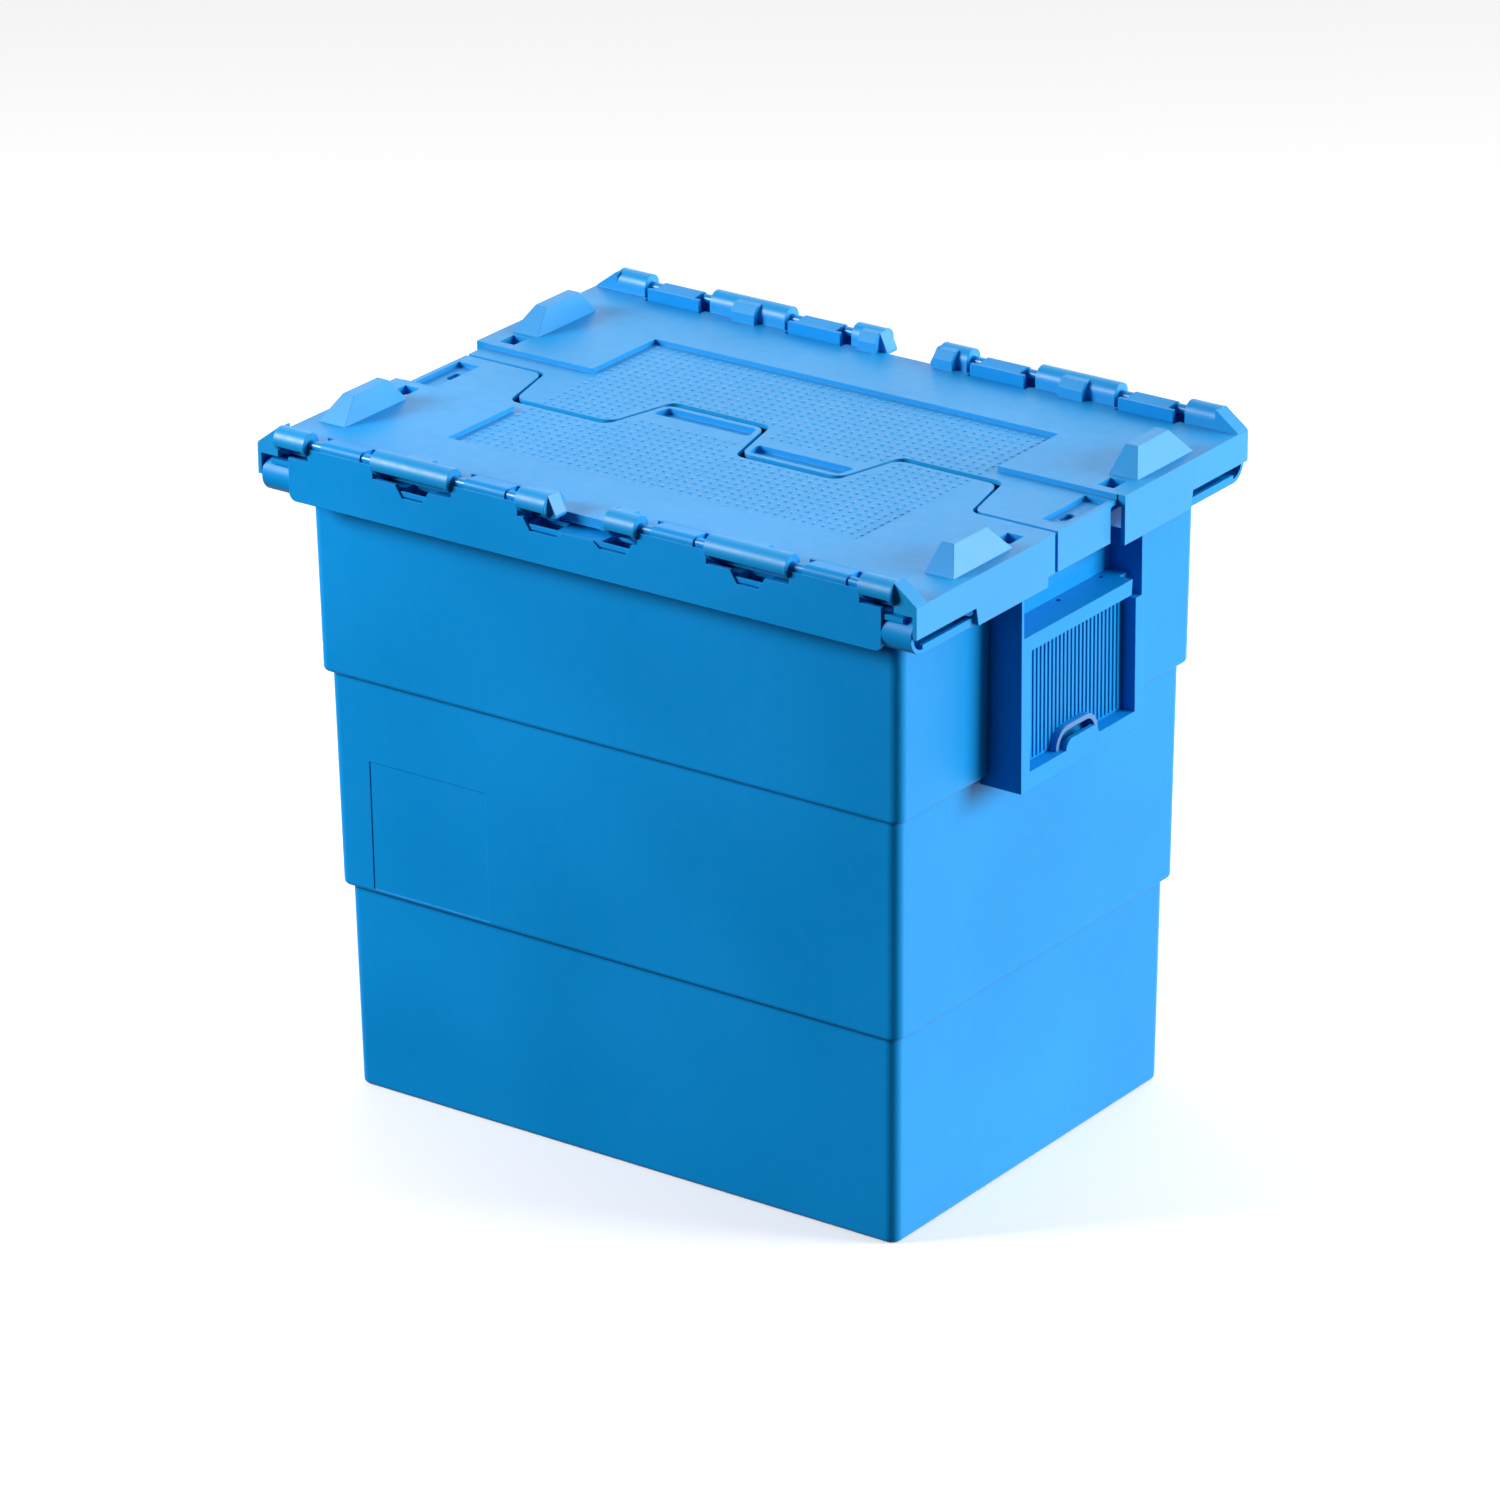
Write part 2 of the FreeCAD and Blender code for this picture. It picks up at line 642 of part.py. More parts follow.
def grips(tub):
    """A framed hand grip on each short end, open below for the fingers."""
    foot = step_two - size("grip_drop")
    shelf = foot + size("grip_height")
    crown = shelf + size("cheek_rise")
    outer = end_x - size("grip_inset")
    front_in = outer - size("frame_wall")
    plate_back = outer - size("plate_recess") - size("plate_thickness")
    backing = plate_back - size("grip_cheek")
    inside = size("grip_width") - size("grip_cheek") * 2
    window = size("grip_width") / 2 - size("stile")
    root = middle_head[0] - size("wall") / 2

    def wall_at(level):
        return top_x - (rim_top - level) * slope + 0.3

    block = outline(tub, "grip_outline", "XZ_Plane", 0, rectangle(root, foot, outer, crown))
    block_pad = pad(tub, "grip_block", block, size("grip_width"), symmetric=True)
    above = outline(tub, "grip_shelf_outline", "XZ_Plane", 0, [
        (wall_at(shelf), shelf), (outer + 1, shelf), (outer + 1, crown + 1),
        (wall_at(crown + 1), crown + 1)])
    shelf_cut = pocket(tub, "grip_shelf", above, inside, symmetric=True)
    fingers = outline(tub, "finger_outline", "XZ_Plane", 0, [
        (middle_head[0] + 0.3, foot - 1), (backing, foot - 1),
        (backing, shelf - size("frame_wall")),
        (wall_at(shelf - size("frame_wall")), shelf - size("frame_wall")),
        (wall_at(step_two), step_two), (middle_head[0] + 0.3, step_two)])
    finger_cut = pocket(tub, "finger_space", fingers, inside, symmetric=True)
    sill = foot + size("sill")
    lintel = shelf - size("beam")
    half_bump = size("bump_width") / 2
    round_off = size("bump_height")
    opening = outline(tub, "grip_window_outline", "YZ_Plane", outer, [
        (-window, sill), (-half_bump, sill, -half_bump + round_off, sill, -1),
        (-half_bump + round_off, sill + round_off),
        (half_bump - round_off, sill + round_off, half_bump - round_off, sill, -1),
        (half_bump, sill),
        (window, sill), (window, lintel), (-window, lintel)])
    window_cut = pocket(tub, "grip_window", opening, outer - plate_back)
    behind = outline(tub, "bump_relief_outline", "YZ_Plane", front_in,
                     rectangle(-half_bump - 1, sill - 0.01, half_bump + 1, sill + round_off + 1))
    relief_cut = pocket(tub, "bump_relief", behind, front_in - plate_back)
    rebate = size("grip_cheek") * 1.5
    membrane = outline(tub, "membrane_outline", "YZ_Plane", plate_back,
                       rectangle(-window + rebate, sill + rebate, window - rebate, lintel - rebate))
    membrane_cut = pocket(tub, "membrane_window", membrane, size("grip_cheek") + 0.1)
    hollow_in = plate_back + size("grip_cheek")
    under = outline(tub, "sill_hollow_outline", "XZ_Plane", 0, rectangle(
        hollow_in, foot - 1, front_in, sill - size("grip_cheek")))
    sill_cut = pocket(tub, "sill_hollow", under, inside, symmetric=True)
    over = outline(tub, "beam_hollow_outline", "XZ_Plane", 0, rectangle(
        hollow_in, lintel - 1, front_in, shelf - size("frame_wall")))
    beam_cut = pocket(tub, "beam_hollow", over, window * 2, symmetric=True)
    # the beam stops short of one cheek, where the stile is also lower
    gap = outline(tub, "beam_gap_outline", "YZ_Plane", outer + 1, [
        (window - 3, shelf + 1), (window - 4, lintel - 3), (inside / 2, lintel - 3),
        (inside / 2, shelf + 1)])
    gap_cut = pocket(tub, "beam_gap", gap, size("plate_recess") + 1)
    drains = new_sketch(tub, "shelf_hole_outline", "XY_Plane", shelf)
    add_circles(drains, [(wall_at(shelf) + size("drain_inset"), size("drain_pitch") * place,
                          size("drain_radius")) for place in (-1, 0, 1)])
    drain_cut = pocket(tub, "shelf_holes", drains, size("frame_wall") + 1)
    half_turn(tub, "far_grip", [block_pad, shelf_cut, finger_cut, window_cut, relief_cut,
                                membrane_cut, sill_cut, beam_cut, gap_cut, drain_cut])
    return outer, plate_back, window, sill, lintel


def seal_slots(tub):
    left = end_x - size("slot_inset") - size("slot_width")
    right = end_x - size("slot_inset")
    near = size("slot_start")
    far = near + size("slot_length")
    loops = []
    for low, high in ((left, right), (-right, -left)):
        loops.append(rectangle(low, near, high, far))
        loops.append(rectangle(low, -far, high, -near))
    sketch = outline(tub, "rim_slot_outline", "XY_Plane", rim_top, *loops)
    pocket(tub, "rim_slots", sketch, size("rim_thickness") + 0.5)


def card_field(tub):
    """A shallow card field let into the leaning front wall of the middle tier."""
    sketch = new_sketch(tub, "card_outline", "XZ_Plane", middle_foot[1] - step_one * slope)
    sketch.AttachmentOffset = FreeCAD.Placement(
        FreeCAD.Vector(0, 0, (middle_foot[1] - step_one * slope).number),
        FreeCAD.Rotation(FreeCAD.Vector(1, 0, 0), SIZES["draft_angle"]))
    sketch.setExpression("AttachmentOffset.Base.z", (middle_foot[1] - step_one * slope).formula)
    foot = step_one + size("step_round")
    left = -size("card_left")
    add_loop(sketch, rectangle(left, foot, left + size("card_width"), foot + size("card_height")))
    pocket(tub, "card_field", sketch, size("card_depth"))


def build_tub():
    tub = new_body("tub")
    tier_pads(tub)
    stations = grips(tub)
    cavity(tub)
    card_field(tub)
    rim(tub)
    skirts(tub)
    seal_slots(tub)
    return finish(tub), stations


# ---------------------------------------------------------------- lids

def seam_points():
    """The front lid's edge along the seam, right to left: close to the other lid along the
    fingers' flanks, wide open at their tips, and closer again at the tongues."""
    gap = size("seam_gap") / 2
    tip = size("tip_gap") / 2
    tongue = size("tongue_gap") / 2
    reach = size("seam_reach")
    slant = size("seam_slant")
    pitch = size("seam_pitch")
    points = []
    for turns in (2, 1, 0, -1, -2):
        crossing = pitch * turns
        if turns % 2 == 0:
            points.append((crossing + slant - gap, -reach - (tongue if turns == 2 else tip)))
            points.append((crossing - slant - gap, reach - (tongue if turns == -2 else tip)))
        else:
            points.append((crossing + slant + gap, reach - tip))
            points.append((crossing - slant + gap, -reach - tip))
    return points


def lid_outline():
    """Front lid seen from above, anticlockwise from its hinge corner on the left."""
    hinge_edge = -(axis_y - size("knuckle_radius") - 0.4)
    corner_edge = -(axis_y + size("gusset_front"))
    notch_edge = -(web_in - 0.8)
    half_notch = size("web_length") / 2 + 1.5
    inset_x = end_x - size("tongue_inset")
    gap = size("tongue_gap") / 2
    points = [(-end_x, corner_edge), (-end_knuckle[1], corner_edge), (-end_knuckle[1], hinge_edge)]
    for station in (-outer_bearing, -inner_bearing, inner_bearing, outer_bearing):
        points += [(station - half_notch, hinge_edge), (station - half_notch, notch_edge),
                   (station + half_notch, notch_edge), (station + half_notch, hinge_edge)]
    points += [(end_knuckle[1], hinge_edge), (end_knuckle[1], corner_edge), (end_x, corner_edge),
               (end_x, -size("tongue_half")), (inset_x, -size("tongue_half")),
               (inset_x, -size("seam_reach") - gap)]
    points += seam_points()
    points += [(-inset_x, size("seam_reach") - gap), (-inset_x, -size("tongue_half")),
               (-end_x, -size("tongue_half"))]
    return points


def lid_plate(lid):
    pad(lid, "plate", outline(lid, "plate_outline", "XY_Plane", lid_under, lid_outline()),
        size("lid_thickness"))
    corners = [(across.number, up.number) for across, up in seam_points()]

    def on_seam(edge):
        box = edge.BoundBox
        if box.ZLength < 1 or box.XLength > 0.01 or box.YLength > 0.01:
            return False
        return any(abs(box.XMin - across) < 0.01 and abs(box.YMin - up) < 0.01
                   for across, up in corners)

    round_edges(lid, "seam_corners", on_seam, size("seam_radius"))


def lid_recess(lid):
    """The sunken panel, and the finger pull sunk into one finger with a lip round it."""
    far = size("seam_reach") * 2
    out = end_x + 1
    step = -(size("tongue_half") - 0.5)
    loop = [(-out, step), (-panel_x, step), (-panel_x, -panel_y), (panel_x, -panel_y),
            (panel_x, step), (out, step), (out, far), (-out, far)]
    pocket(lid, "panel_recess", outline(lid, "recess_outline", "XY_Plane", lid_top, loop),
           size("recess_depth"))
    left = -size("seam_pitch") + size("seam_slant") + size("pull_lip")
    right = -size("seam_slant") - size("pull_lip")
    high = size("seam_reach") - size("tip_gap") / 2 - size("pull_lip")
    low = high - size("pull_slot")
    lean = size("seam_slant") * size("pull_slot") / size("seam_reach")
    wall = size("pull_wall")
    pan_foot = recess_z - size("pull_depth") - size("pull_floor")
    pan = outline(lid, "pull_pan_outline", "XY_Plane", pan_foot, [
        (left - lean - wall, low - wall), (right + lean + wall, low - wall),
        (right + wall, high + wall), (left - wall, high + wall)])
    pad(lid, "pull_pan", pan, lid_under - pan_foot)
    corners = [(left - lean, low), (right + lean, low), (right, high), (left, high)]
    pocket(lid, "pull_slot", outline(lid, "pull_slot_outline", "XY_Plane", recess_z, corners),
           size("pull_depth"))

    def in_corner(edge):
        box = edge.BoundBox
        if box.ZLength < 1 or box.XLength > 0.01 or box.YLength > 0.01:
            return False
        return any(abs(box.XMin - across.number) < 0.01 and abs(box.YMin - up.number) < 0.01
                   for across, up in corners)

    round_edges(lid, "pull_corners", in_corner, size("pull_round"))


def lid_cells(lid):
    """Ribbed underside: hollow cells below the raised border of the lid."""
    rib = size("cell_rib")
    depth = size("lid_thickness") - size("recess_depth")
    pitch = (panel_x - rib) * 2 / CELLS
    width = pitch - rib
    first = -(pitch * (CELLS / 2)) + rib / 2
    low = -(web_in - 0.8) + rib
    high = -panel_y - rib
    cell = pocket(lid, "border_cell",
                  outline(lid, "border_cell_outline", "XY_Plane", lid_under,
                          rectangle(first, low, first + width, high)), depth, flip=True)
    row_of(lid, "border_cells", [cell], pitch, CELLS)
    inner = panel_x + rib
    outer = end_x - size("boss_inset") - size("boss_width") - rib
    middle = (low - size("tongue_half")) / 2
    end_cell = pocket(lid, "end_cells", outline(
        lid, "end_cell_outline", "XY_Plane", lid_under,
        rectangle(inner, low, outer, middle - rib / 2),
        rectangle(inner, middle + rib / 2, outer, -size("tongue_half") - rib)), depth, flip=True)
    mirror(lid, "left_end_cells", [end_cell], "YZ_Plane")


def lid_flanges(lid):
    """Downturned flanges on the short ends; one end also carries the tongue's flange."""
    low = lid_top - size("flange_drop")
    short = lid_top - size("flange_short_drop")
    hinge_side = -(axis_y + size("gusset_front"))
    step = -size("flange_step")
    main = pad(lid, "end_flange", outline(lid, "end_flange_section", "YZ_Plane", flange_in, [
        (hinge_side, short), (step - 1, short), (step + 1, low), (-size("tongue_half"), low),
        (-size("tongue_half"), lid_top), (hinge_side, lid_top)]), size("lid_flange"))
    mirror(lid, "left_end_flange", [main], "YZ_Plane")
    inset = end_x - size("tongue_inset")
    tongue_low = lid_top - size("tongue_drop")
    start = -size("tongue_half") + size("tongue_notch")
    gap = size("tongue_gap") / 2
    for name, level, far in (("short_tongue_flange", inset - size("lid_flange"),
                              -size("seam_reach") - gap),
                             ("tongue_flange", -inset, size("seam_reach") - gap)):
        pad(lid, name, outline(lid, name + "_section", "YZ_Plane", level,
                               rectangle(start, tongue_low, far, recess_z - 0.5)),
            size("lid_flange"))


def lid_knuckles(lid):
    """Knuckles: solid ears at both ends, a hooked half tube between them."""
    droop = math.radians(TIP_DROOP)
    outer = size("knuckle_radius")
    inner = size("knuckle_bore")
    root = -(axis_y - outer - 1.4)
    tip = (-axis_y - outer * math.cos(droop), axis_z - outer * math.sin(droop))
    full = [(tip[0], tip[1], -axis_y, axis_z, -1), (-axis_y + outer, axis_z),
            (-axis_y + outer, lid_top), (root, lid_top), (root, lid_under),
            (-axis_y + 2.2, lid_under), (-axis_y - 3.3, axis_z - 5.3)]
    hollow = [(-axis_y + inner, lid_under - 1),
              (-axis_y + inner, axis_z, -axis_y, axis_z, 1),
              (-axis_y - inner, axis_z), (-axis_y - inner, axis_z - outer * math.sin(droop)),
              (-axis_y - outer - 1, axis_z - outer * math.sin(droop)),
              (-axis_y - outer - 1, lid_under - 1)]
    ear = size("ear_thickness")
    features = []
    for name, (start, finish) in knuckles.items():
        solid = outline(lid, name + "_knuckle_section", "YZ_Plane", start, full)
        features.append(pad(lid, name + "_knuckle", solid, finish - start))
        space = outline(lid, name + "_hollow_section", "YZ_Plane", start + ear, hollow)
        features.append(pocket(lid, name + "_hollow", space, finish - start - ear * 2, flip=True))
    inner_hump = (centre_knuckle[0], centre_knuckle[0] + size("hump_length") - 3)
    mid = (mid_hump - size("hump_length") / 2, mid_hump + size("hump_length") / 2)
    reach = -axis_y + size("hump_reach")
    for name, (start, finish) in (("centre", inner_hump), ("mid", mid)):
        hump = outline(lid, name + "_hump_section", "YZ_Plane", start, [
            (-axis_y + 2.7, axis_z + 5.6), (-axis_y + size("knuckle_bore"), axis_z + 2.3),
            (-axis_y + size("knuckle_bore"), lid_top - 0.5), (reach, lid_top - 0.5),
            (reach, axis_z + 1.2), (reach - 3.3, axis_z + 5.3)])
        features.append(pad(lid, name + "_hump", hump, finish - start))
    # sloping gussets against the outer end of the end knuckle and the inner end of the centre one
    crown = axis_z + 5.8
    centre_foot = centre_knuckle[0] - size("centre_gusset")
    for name, loop in (
            ("end_gusset", [
                (end_knuckle[1] - 1, lid_top - 1), (end_x - 0.5, lid_top - 1),
                (end_x - 0.5, lid_top + 0.6), (end_knuckle[1], crown), (end_knuckle[1] - 1, crown)]),
            ("centre_gusset", [
                (centre_foot, lid_top - 1), (centre_knuckle[0] + 1, lid_top - 1),
                (centre_knuckle[0] + 1, crown), (centre_knuckle[0], crown),
                (centre_foot, lid_top + 0.6)])):
        section = outline(lid, name + "_outline", "XZ_Plane", axis_y - size("knuckle_radius"), loop)
        features.append(pad(lid, name, section, size("knuckle_radius") + size("gusset_front")))
    bore_start = centre_knuckle[0] + ear / 2
    bore = new_sketch(lid, "rod_bore_section", "YZ_Plane", bore_start)
    add_circles(bore, [(-axis_y, axis_z, size("rod_diameter") / 2 + size("ear_fit"))])
    features.append(pocket(lid, "rod_bore", bore, end_knuckle[1] - ear / 2 - bore_start, flip=True))
    mirror(lid, "left_knuckles", features, "YZ_Plane")


def loft(body, kind, label, low_sketch, high_sketch):
    feature = body.newObject("PartDesign::" + kind, label)
    feature.Profile = low_sketch
    feature.Sections = [high_sketch]
    feature.Ruled = True
    return settle(feature)


def lid_bosses(lid):
    """Stacking bosses that locate the crate above, hollow from below."""
    outer = end_x - size("boss_inset")
    inner = outer - size("boss_width")
    far = -size("boss_start") - size("boss_length")
    near = -size("boss_start")
    crown = lid_top + size("boss_height")
    wall = size("boss_wall")
    steep = size("boss_inner_lean")
    shallow = size("boss_outer_lean")
    ends = size("boss_end_lean")
    low = outline(lid, "boss_foot", "XY_Plane", lid_top - 0.2, rectangle(inner, far, outer, near))
    high = outline(lid, "boss_crown", "XY_Plane", crown,
                   rectangle(inner + steep, far + ends, outer - shallow, near - ends))
    solid = loft(lid, "AdditiveLoft", "boss", low, high)
    low_in = outline(lid, "boss_hollow_foot", "XY_Plane", lid_under,
                     rectangle(inner + wall, far + wall, outer - wall, near - wall))
    high_in = outline(lid, "boss_hollow_crown", "XY_Plane", crown - wall,
                      rectangle(inner + steep + wall - 0.6, far + ends + wall,
                                outer - shallow - wall + 0.6, near - ends - wall))
    hollow = loft(lid, "SubtractiveLoft", "boss_hollow", low_in, high_in)
    mirror(lid, "left_boss", [solid, hollow], "YZ_Plane")


def lid_slots(lid):
    """Seal slots at the four corners, and the latch pocket in the tongue."""
    left = end_x - size("slot_inset") - size("slot_width")
    right = end_x - size("slot_inset")
    near = -size("slot_start")
    far = near - size("slot_length")
    sketch = outline(lid, "seal_slot_outline", "XY_Plane", lid_top,
                     rectangle(left, far, right, near), rectangle(-right, far, -left, near))
    pocket(lid, "seal_slots", sketch, size("lid_thickness") + 0.5)
    pocket_out = -(end_x - size("pocket_inset"))
    pocket_in = pocket_out + size("pocket_width")
    high = size("pocket_start")
    low = high - size("pocket_length")
    floor = size("pocket_floor")
    rim_wall = size("pocket_wall")
    pan = outline(lid, "pan_outline", "XY_Plane", lid_under - floor, rectangle(
        pocket_out - rim_wall, low - rim_wall, pocket_in + rim_wall, high + rim_wall))
    pad(lid, "pocket_pan", pan, floor)
    hollow = outline(lid, "pocket_outline", "XY_Plane", recess_z,
                     rectangle(pocket_out, low, pocket_in, high))
    pocket(lid, "latch_pocket", hollow, recess_z - lid_under)
    half = size("latch_half_width")
    centre_x = -(end_x - size("latch_inset"))
    oval_low = -size("latch_far")
    oval_high = -size("latch_near")
    oval = outline(lid, "latch_oval_outline", "XY_Plane", lid_under, [
        (centre_x - half, oval_low, centre_x, oval_low, 1), (centre_x + half, oval_low),
        (centre_x + half, oval_high, centre_x, oval_high, 1), (centre_x - half, oval_high)])
    pocket(lid, "latch_slot", oval, floor + 0.5)


def build_lid(label):
    lid = new_body(label)
    lid_plate(lid)
    lid_recess(lid)
    lid_cells(lid)
    lid_flanges(lid)
    lid_bosses(lid)
    lid_slots(lid)
    lid_knuckles(lid)
    return finish(lid)


# ---------------------------------------------------------------- rods and label plates

def build_rod(label, depth_side, length_side):
    """One of the four rods: from the centre knuckle's inner ear to the end knuckle's outer ear."""
    inner = centre_knuckle[0] + size("ear_thickness") / 2 + size("rod_end_room")
    outer = end_knuckle[1] - size("ear_thickness") / 2 - size("rod_end_room")
    rod = new_body(label)
    start = inner if length_side > 0 else -outer
    sketch = new_sketch(rod, label + "_section", "YZ_Plane", start)
    across = axis_y if depth_side > 0 else -axis_y
    add_circles(sketch, [(across, axis_z, size("rod_diameter") / 2)])
    bar = pad(rod, label + "_bar", sketch, outer - inner)
    rims = [index for index, edge in enumerate(bar.Shape.Edges, start=1)
            if edge.BoundBox.XLength < 0.01]
    ends = rod.newObject("PartDesign::Chamfer", label + "_ends")
    ends.Base = (bar, ["Edge%d" % index for index in rims])
    ends.Size = 0.5
    doc.recompute()
    return rod


def build_label_plate(label, stations):
    """A ribbed snap-in plate that closes the grip's window, with a finger notch."""
    outer, back, window, sill, lintel = stations
    fit = size("plate_fit")
    half = window - fit
    low = sill + fit
    high = lintel - fit
    plate = new_body(label)
    pad(plate, label + "_panel", outline(plate, label + "_outline", "YZ_Plane", back,
                                         rectangle(-half, low, half, high)),
        size("plate_thickness"))
    face = back + size("plate_thickness")
    bump = size("bump_width") / 2 + size("notch_room")
    rise = size("bump_height") + size("notch_rise")
    notch = outline(plate, label + "_notch_outline", "YZ_Plane", face, [
        (-bump, low - 1), (bump, low - 1), (bump, low + 0.5, bump - rise + 0.5, low + 0.5, 1),
        (bump - rise + 0.5, low + rise), (-bump + rise - 0.5, low + rise,
                                          -bump + rise - 0.5, low + 0.5, 1),
        (-bump, low + 0.5)])
    band = size("arch_width")
    arch_out = bump + band
    arch = outline(plate, label + "_arch_outline", "YZ_Plane", back, [
        (-arch_out, low), (arch_out, low), (arch_out, low + 0.5, bump - rise + 0.5, low + 0.5, 1),
        (bump - rise + 0.5, low + rise + band), (-bump + rise - 0.5, low + rise + band,
                                                 -bump + rise - 0.5, low + 0.5, 1),
        (-arch_out, low + 0.5)])
    pitch = (window * 2 - size("rib_width") - size("rib_margin") * 2) / (RIBS - 1)
    start = -(pitch * ((RIBS - 1) / 2)) - size("rib_width") / 2
    rib = outline(plate, label + "_rib_outline", "YZ_Plane", face,
                  rectangle(start, low + 1.5, start + size("rib_width"), high - 0.5))
    rib_pad = pad(plate, label + "_rib", rib, size("rib_height"))
    ribs = plate.newObject("PartDesign::LinearPattern", label + "_ribs")
    ribs.Originals = [rib_pad]
    ribs.Direction = (origin_plane(plate, "Y_Axis"), [""])
    ribs.setExpression("Length", (pitch * (RIBS - 1)).formula)
    ribs.Occurrences = RIBS
    plate.Tip = ribs
    settle(ribs)
    pad(plate, label + "_arch", arch, size("plate_thickness") + size("arch_stand"))
    pocket(plate, label + "_notch", notch, (size("plate_thickness") + size("arch_stand")) * 2,
           symmetric=True)
    return finish(plate)


# ---------------------------------------------------------------- build, check and export

tub_body, grip_stations = build_tub()
front_lid = build_lid("front_lid")
right_plate = build_label_plate("right_label_plate", grip_stations)
pieces = [
    tub_body,
    front_lid,
    turned_twin("rear_lid", front_lid),
    build_rod("front_right_rod", -1, 1),
    build_rod("front_left_rod", -1, -1),
    build_rod("rear_right_rod", 1, 1),
    build_rod("rear_left_rod", 1, -1),
    right_plate,
    turned_twin("left_label_plate", right_plate),
]
doc.recompute()

for item in doc.Objects:
    if "Invalid" in item.State or "Error" in item.State:
        raise RuntimeError("%s failed: %s" % (item.Label, item.State))
for piece in pieces:
    shape = piece.Shape
    if shape.isNull() or not shape.isValid() or len(shape.Solids) != 1:
        raise RuntimeError("%s is not one valid solid" % piece.Label)

os.makedirs("parts", exist_ok=True)
for piece in pieces:
    piece.Shape.exportStep("parts/%s.step" % piece.Label)
    box = piece.Shape.BoundBox
    print("%-18s %9.1f cm3  x %.1f..%.1f  y %.1f..%.1f  z %.1f..%.1f" % (
        piece.Label, piece.Shape.Volume / 1000, box.XMin, box.XMax, box.YMin, box.YMax,
        box.ZMin, box.ZMax))
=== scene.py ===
import math

import bmesh
import bpy
from bpy.props import FloatProperty, FloatVectorProperty, IntProperty, PointerProperty
from bpy.types import Operator, Panel, PropertyGroup
from mathutils import Matrix, Vector


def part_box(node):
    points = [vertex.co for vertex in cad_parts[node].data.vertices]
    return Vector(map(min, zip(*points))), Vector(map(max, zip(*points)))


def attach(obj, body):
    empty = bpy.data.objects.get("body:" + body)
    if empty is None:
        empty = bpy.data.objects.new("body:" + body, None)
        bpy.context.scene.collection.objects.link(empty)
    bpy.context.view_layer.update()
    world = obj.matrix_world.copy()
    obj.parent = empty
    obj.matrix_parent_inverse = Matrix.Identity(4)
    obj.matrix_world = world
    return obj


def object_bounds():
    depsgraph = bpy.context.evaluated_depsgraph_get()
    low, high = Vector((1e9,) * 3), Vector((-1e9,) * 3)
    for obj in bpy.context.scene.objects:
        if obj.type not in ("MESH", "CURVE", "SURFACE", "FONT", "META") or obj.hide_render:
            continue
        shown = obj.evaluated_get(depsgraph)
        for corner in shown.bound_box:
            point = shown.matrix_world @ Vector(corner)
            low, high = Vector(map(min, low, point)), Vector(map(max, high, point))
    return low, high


bl_info = {
    "name": "Attached lid crate",
    "version": (1, 0, 0),
    "blender": (4, 5, 0),
    "location": "3D View > Sidebar > Crate",
    "description": "Finishes the crate's mouldings, adds the lids' dots, and sets up the studio",
    "category": "Object",
}

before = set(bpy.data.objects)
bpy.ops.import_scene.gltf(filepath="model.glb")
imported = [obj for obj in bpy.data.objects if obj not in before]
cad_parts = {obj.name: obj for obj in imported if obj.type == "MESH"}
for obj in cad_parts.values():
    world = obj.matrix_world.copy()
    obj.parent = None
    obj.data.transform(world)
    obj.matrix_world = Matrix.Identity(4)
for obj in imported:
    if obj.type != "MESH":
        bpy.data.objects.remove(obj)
CAD_LOW, CAD_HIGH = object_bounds()
MM = 0.001

# The moulded plastic that every piece of the crate is made of.
PLASTIC_IOR = 1.49
FLOW_SCALE = 9.0
MOTTLE_SCALE = 140.0
DEEPER_TINT = 0.93
PALER_TINT = 1.05
PALER_LIFT = 0.002
SMOOTHER = 0.03
ROUGHER = 0.05
EDGE_SAMPLES = 4
FLOW_STRENGTH = 0.25
FLOW_HEIGHT = 0.4 * MM
GRAIN_STRENGTH = 0.6
ROD_GLOSS = 0.14
DOT_GLOSS = 0.2

# Each step up a dot: its share of the dot's rise, and how much the dot narrows over it.
DOT_STEPS = ((0.35, 0.88), (0.4, 0.72), (0.25, 0.45))
DOT_SUNK = 0.05 * MM
DOT_SMOOTH_ANGLE = math.radians(50)

WHITE = (1.0, 1.0, 1.0, 1.0)
FLOOR_ROUGHNESS = 0.9
SENSOR_WIDTH = 36.0
CLIP_END = 100.0


# ------------------------------------------------------------------ settings

def millimetres(name, description, default):
    """A length that is given in millimetres and kept in metres."""
    return FloatProperty(name=name, description=description, default=default * MM,
                         unit="LENGTH", precision=5)


def metres(name, description, default):
    return FloatProperty(name=name, description=description, default=default, unit="LENGTH")


def degrees(name, description, default):
    """An angle that is given in degrees and kept in radians."""
    return FloatProperty(name=name, description=description, default=math.radians(default),
                         unit="ROTATION", precision=5)


def watts(name, description, default):
    return FloatProperty(name=name, description=description, default=default, unit="POWER")


def fraction(name, description, default):
    """A plain number from nought to one."""
    return FloatProperty(name=name, description=description, default=default,
                         min=0.0, max=1.0, subtype="FACTOR")


def position(name, description, default):
    return FloatVectorProperty(name=name, description=description, default=default,
                               subtype="XYZ", unit="LENGTH", size=3)


def colour(name, description, default):
    return FloatVectorProperty(name=name, description=description, default=default,
                               subtype="COLOR", size=3, min=0.0, max=1.0)


